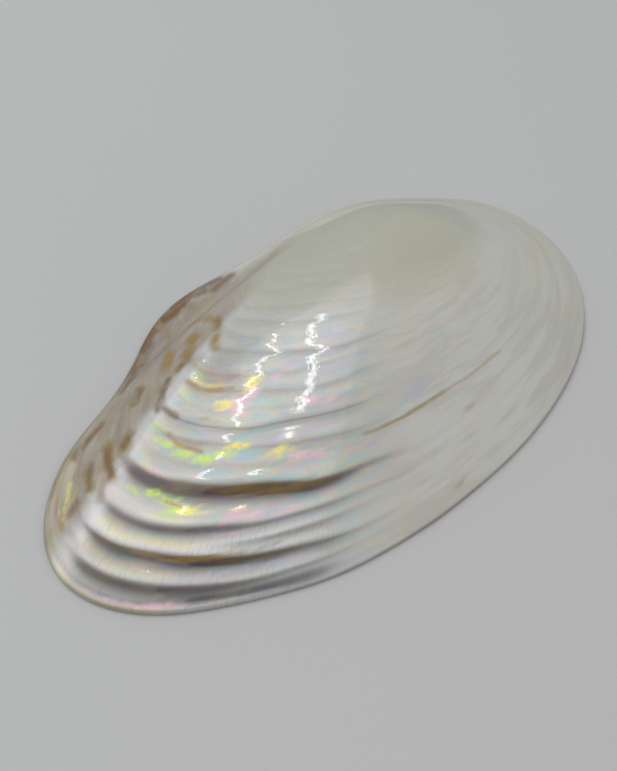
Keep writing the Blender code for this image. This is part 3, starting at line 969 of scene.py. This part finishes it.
    # pearl lustre
    skin = net.math("MAXIMUM", net.math("MULTIPLY", brown, ragged),
                    net.math("MULTIPLY", purple, .8))
    metal = net.math("MULTIPLY_ADD", silver, .08, .08)
    metal = net.math("MULTIPLY_ADD", slope, .10, metal)
    metal = net.math("MULTIPLY", metal, net.math("SUBTRACT", 1.0, skin, clamp=True))
    metal = net.mix(inside, metal, grey(.30))
    net.put(shader.inputs["Metallic"], metal)
    rough = net.map(silver, 0.0, 1.0, .34, .30, "LINEAR")
    rough = net.math("MULTIPLY_ADD", net.map(grain, .35, .65), .03, rough)
    rough = net.math("MULTIPLY_ADD", groove, .10, rough)
    net.put(shader.inputs["Roughness"], rough)
    coat = net.math("MULTIPLY_ADD", silver, .40, .50)
    coat = net.math("MULTIPLY", coat, net.math("SUBTRACT", 1.0,
                    net.math("MULTIPLY", skin, .6), clamp=True))
    net.put(shader.inputs["Coat Weight"], coat)
    shader.inputs["Coat Roughness"].default_value = .03
    shader.inputs["Coat IOR"].default_value = 1.55
    shader.inputs["IOR"].default_value = 1.55
    film_depth = net.math("MULTIPLY_ADD", hue, 520.0, 180.0)
    if "Thin Film Thickness" in shader.inputs:
        net.put(shader.inputs["Thin Film Thickness"], film_depth)
        shader.inputs["Thin Film IOR"].default_value = 1.45

    # fine relief: ribs across the ridges, growth threads, polish marks
    ribs = net.noise(net.vmul(ring, (96.0, 96.0, 26.0)), 1.0, 2.0, .5)
    ribs = net.math("MULTIPLY", net.math("MULTIPLY", ribs, young), silver)
    threads = net.noise(net.vmul(ring, (7.0, 7.0, 330.0)), 1.0, 2.0, .5)
    threads = net.math("MULTIPLY", threads, worn)
    dents = net.noise(place, 240.0, 2.0, .5)
    normal = net.bump(ribs, .00006, .30)
    normal = net.bump(threads, .00003, .30, normal)
    normal = net.bump(dents, .00010, .35, normal)
    net.put(shader.inputs["Normal"], normal)
    grit = net.noise(place, 1300.0, 2.0, .6)
    normal_coat = net.bump(ribs, .00002, .20)
    normal_coat = net.bump(grit, .00003, .26, normal_coat)
    net.put(shader.inputs["Coat Normal"], normal_coat)
    return net.material


def floor_material():
    net = Net("pale_surface")
    place = net.add("ShaderNodeTexCoord").outputs["Object"]
    patch = net.noise(place, 3.0, 2.0, .5)
    tooth = net.noise(place, 900.0, 2.0, .6)
    colour = net.mix(net.map(patch, .3, .7), (.562, .566, .562, 1),
                     (.576, .574, .562, 1))
    colour = net.mix(net.map(tooth, .3, .7, 0, .06), colour, (.48, .48, .48, 1))
    net.put(net.shader.inputs["Base Color"], colour)
    net.put(net.shader.inputs["Roughness"], net.map(tooth, .3, .7, .62, .72))
    net.put(net.shader.inputs["Normal"], net.bump(tooth, .00004, .4))
    net.shader.inputs["Specular IOR Level"].default_value = .25
    return net.material


# ------------------------------------------------------------------ the scene
def aim(obj, target):
    obj.rotation_euler = (Vector(target) - obj.location).to_track_quat("-Z", "Y").to_euler()


def area_light(name, centre, along, length, width, power, colour=(1, 1, 1)):
    """A level rectangular lamp facing down, its long side along a direction."""
    lamp = bpy.data.lights.new(name, "AREA")
    lamp.shape = "RECTANGLE"
    lamp.size, lamp.size_y = length, width
    lamp.energy = power
    lamp.color = colour
    holder = bpy.data.objects.new(name, lamp)
    holder.location = centre
    holder.rotation_euler = (0, 0, np.arctan2(along[1], along[0]))
    bpy.context.scene.collection.objects.link(holder)
    return holder


def build_scene():
    scene = bpy.context.scene
    scene.view_settings.view_transform = "Standard"
    scene.view_settings.look = "None"
    scene.view_settings.exposure = 0.0

    # camera: 60 degrees down, looking along the valve from its belly side
    heading = np.array([sin(radians(38.338)), cos(radians(38.338))])
    target = np.array([-1.365, 3.136, 0.0]) * MM
    distance = 271.5 * MM
    eye = target + distance * np.array([-heading[0] * cos(radians(60)),
                                        -heading[1] * cos(radians(60)),
                                        sin(radians(60))])
    lens = bpy.data.cameras.new("camera")
    lens.sensor_width = 36.0
    lens.lens = 1120.0 * 36.0 / 771.0
    lens.clip_start = 0.01
    camera = bpy.data.objects.new("camera", lens)
    scene.collection.objects.link(camera)
    camera.location = eye
    aim(camera, target)
    scene.camera = camera

    # floor
    bpy.ops.mesh.primitive_plane_add(size=6.0, location=(0, 0, 0))
    floor = bpy.context.active_object
    floor.name = "pale_surface"
    floor.data.materials.append(floor_material())

    # ceiling panel with two brighter tubes in it
    way = np.array([.33, .944])
    side = np.array([.944, -.33])
    height = 1.0

    def panel(name, t0, t1, o0, o1, radiance, colour=(1, 1, 1), z=height):
        middle = way * (t0 + t1) / 2 + side * (o0 + o1) / 2
        length, width = abs(t1 - t0), abs(o1 - o0)
        area_light(name, (middle[0], middle[1], z), way, length, width,
                   radiance * pi * length * width, colour)

    panel("ceiling_panel", -.55, 1.00, -.95, .145, .82, (1.0, 1.0, .99))
    panel("tube_right", -.04, .75, -.067, -.053, 15.0, z=height - .01)
    panel("tube_left", .10, .95, -.257, -.243, 15.0, z=height - .01)

    # room: even grey, darker low on the belly side
    world = bpy.data.worlds.new("room")
    scene.world = world
    world.use_nodes = True
    nodes, links = world.node_tree.nodes, world.node_tree.links
    back = nodes["Background"]
    coord = nodes.new("ShaderNodeTexCoord")
    dot = nodes.new("ShaderNodeVectorMath")
    dot.operation = "DOT_PRODUCT"
    toward = np.array([cos(radians(-150)) * cos(radians(38)),
                       sin(radians(-150)) * cos(radians(38)), sin(radians(38))])
    dot.inputs[1].default_value = tuple(toward)
    links.new(coord.outputs["Generated"], dot.inputs[0])
    ramp = nodes.new("ShaderNodeValToRGB")
    ramp.color_ramp.interpolation = "EASE"
    ramp.color_ramp.elements[0].position = .74
    ramp.color_ramp.elements[0].color = (.59, .60, .61, 1)
    ramp.color_ramp.elements[1].position = .93
    ramp.color_ramp.elements[1].color = (.07, .08, .10, 1)
    links.new(dot.outputs["Value"], ramp.inputs[0])
    links.new(ramp.outputs[0], back.inputs["Color"])
    back.inputs["Strength"].default_value = 1.0


build_scene()
valve = build_valve()
valve.data.materials.append(nacre_material())
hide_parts("mussel_valve")
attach(valve, "root")
